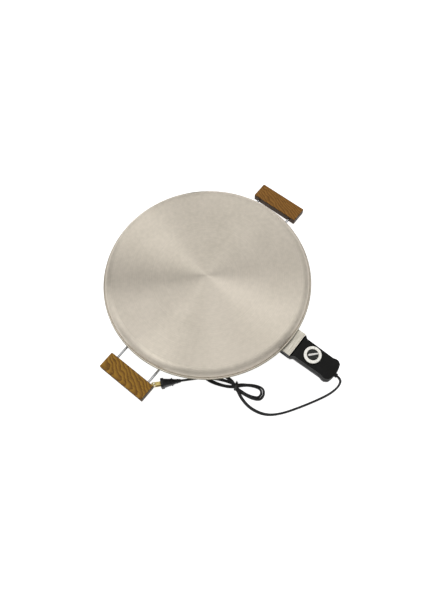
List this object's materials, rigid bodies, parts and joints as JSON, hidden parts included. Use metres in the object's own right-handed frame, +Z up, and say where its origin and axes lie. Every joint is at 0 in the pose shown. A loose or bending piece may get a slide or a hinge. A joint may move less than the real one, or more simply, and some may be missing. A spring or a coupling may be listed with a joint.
{
  "type": "electric griddle",
  "caption": "Round electric griddle: a spun aluminium plate on a base pan and feet, with wooden side grips on rods and a pull-out probe control carrying a dial and mains lead.",
  "frame": {"origin": "centre of the flat cooking surface", "axes": "+Z up out of the cooking surface, X through the two grips, -Y the way the probe control leaves"},
  "size_m": [0.5168, 0.5258, 0.076],
  "materials": {
    "spun_aluminium": "spun, brushed in circles",
    "pan_aluminium": "pressed, satin",
    "cast_aluminium": "as cast",
    "brushed_cover": "brushed lengthwise",
    "zinc_steel": "zinc plated",
    "chromed_steel": "plated and polished",
    "element_sheath": "heat-darkened sheath",
    "ceramic": "unglazed",
    "phenolic": "moulded, low gloss",
    "rubber_pads": "matt",
    "oiled_wood": "turned and oiled, open grain",
    "brass_parts": "stamped",
    "ivory_plastic": "moulded",
    "knob_plastic": "moulded",
    "bar_plastic": "moulded inlay",
    "cord_jacket": "extruded, ribbed by the two cores",
    "tie_plastic": "thin strip",
    "plug_vinyl": "moulded"
  },
  "bodies": {
    "griddle": {"base_pan": "pan_aluminium", "clamp_screws": "zinc_steel", "cover_screws": "zinc_steel", "element_clamps": "zinc_steel", "far_grip": "oiled_wood", "far_rods": "chromed_steel", "feet": "phenolic", "foot_nuts": "zinc_steel", "foot_pads": "rubber_pads", "foot_screws": "zinc_steel", "griddle_plate": "spun_aluminium", "guard_cover": "brushed_cover", "guard_housing": "phenolic", "guard_screws": "zinc_steel", "heating_element": "element_sheath", "near_grip": "oiled_wood", "near_rods": "chromed_steel", "pan_screws": "zinc_steel", "pan_spacers": "zinc_steel", "pin_insulators": "ceramic", "probe_well": "cast_aluminium", "rod_nuts": "zinc_steel", "terminal_pins": "chromed_steel"},
    "control": {"control_top_shell": "phenolic", "control_bottom_shell": "phenolic", "housing_screws": "zinc_steel", "terminal_block": "phenolic", "contact_sockets": "brass_parts", "probe_tube": "chromed_steel", "push_rod": "chromed_steel", "switch_frame": "zinc_steel", "leaf_springs": "brass_parts", "switch_contacts": "brass_parts", "dial_ring": "ivory_plastic", "cord_gland": "cord_jacket", "lead_cord": "cord_jacket", "plug_cord": "cord_jacket", "cord_hank": "cord_jacket", "cord_tie": "tie_plastic", "plug_body": "plug_vinyl", "plug_blades": "brass_parts"},
    "dial": {"dial_knob": "knob_plastic", "dial_bar": "bar_plastic", "dial_shaft": "zinc_steel"}
  },
  "joints": [
    {"name": "control_pull", "type": "slide", "parent": "griddle", "child": "control", "axis": [0, -1, 0], "range_m": [0, 0.11]},
    {"name": "dial_turn", "type": "hinge", "parent": "control", "child": "dial", "pos_m": [0, -0.2503, -0.0165], "axis": [0, 0, 1], "range_deg": [-270, 0]}
  ]
}
